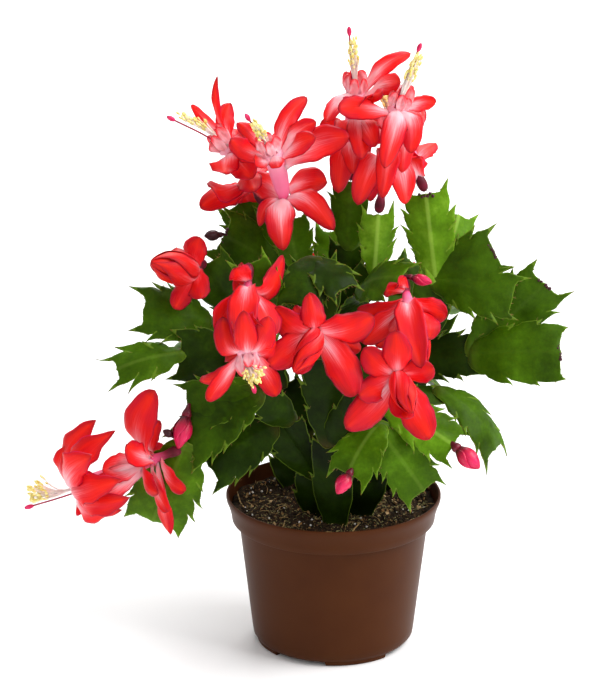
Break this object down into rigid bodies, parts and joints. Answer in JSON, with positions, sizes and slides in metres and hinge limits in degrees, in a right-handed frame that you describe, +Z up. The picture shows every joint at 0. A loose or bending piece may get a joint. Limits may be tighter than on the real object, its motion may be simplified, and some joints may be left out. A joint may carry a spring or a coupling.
{
  "type": "potted christmas cactus",
  "caption": "Potted Christmas cactus: arching chains of flat, toothed stem segments that end in red tiered flowers and buds, rooted in compost in a round tapered pot.",
  "frame": {"origin": "middle of the pot's underside, on the surface the pot stands on", "axes": "+Z is up, along the pot's axis; -Y is the side that faces the viewer in the picture; +X is to the viewer's right"},
  "size_m": [0.2962, 0.2505, 0.3534],
  "materials": {
    "pot_plastic": "satin",
    "compost": "matte",
    "stem_segment": "satin",
    "petal": "satin",
    "stamen": "matte",
    "style": "satin",
    "bud": "satin"
  },
  "bodies": {
    "root": {"pot": "pot_plastic", "compost": "compost", "stem_left_low": "stem_segment", "stem_left_mid": "stem_segment", "stem_upper_left": "stem_segment", "stem_tall": "stem_segment", "stem_right": "stem_segment", "stem_right_low": "stem_segment", "stem_front": "stem_segment", "stem_back_left": "stem_segment", "stem_back_right": "stem_segment", "stem_back": "stem_segment", "bud_left": "bud", "bud_left_small": "bud", "bud_upper_left": "bud", "bud_right_low": "bud", "bud_middle": "bud", "bud_right": "bud", "flower_top_left_style": "style", "flower_top_left_stamens": "stamen", "flower_top_middle_style": "style", "flower_top_middle_stamens": "stamen", "flower_top_style": "style", "flower_top_stamens": "stamen", "flower_top_right_style": "style", "flower_top_right_stamens": "stamen", "flower_right_back_style": "style", "flower_right_back_stamens": "stamen", "flower_left_front_style": "style", "flower_left_front_stamens": "stamen", "flower_left_low_style": "style", "flower_left_low_stamens": "stamen", "flower_back_left_style": "style", "flower_back_left_stamens": "stamen", "flower_back_right_style": "style", "flower_back_right_stamens": "stamen", "flower_opening_left": "petal", "flower_opening_middle": "petal", "flower_opening_right": "petal", "flower_opening_low": "petal", "flower_top_left": "petal", "flower_top_middle": "petal", "flower_top": "petal", "flower_top_right": "petal", "flower_right_back": "petal", "flower_left_front": "petal", "flower_left_low": "petal", "flower_back_left": "petal", "flower_back_right": "petal"}
  },
  "joints": []
}
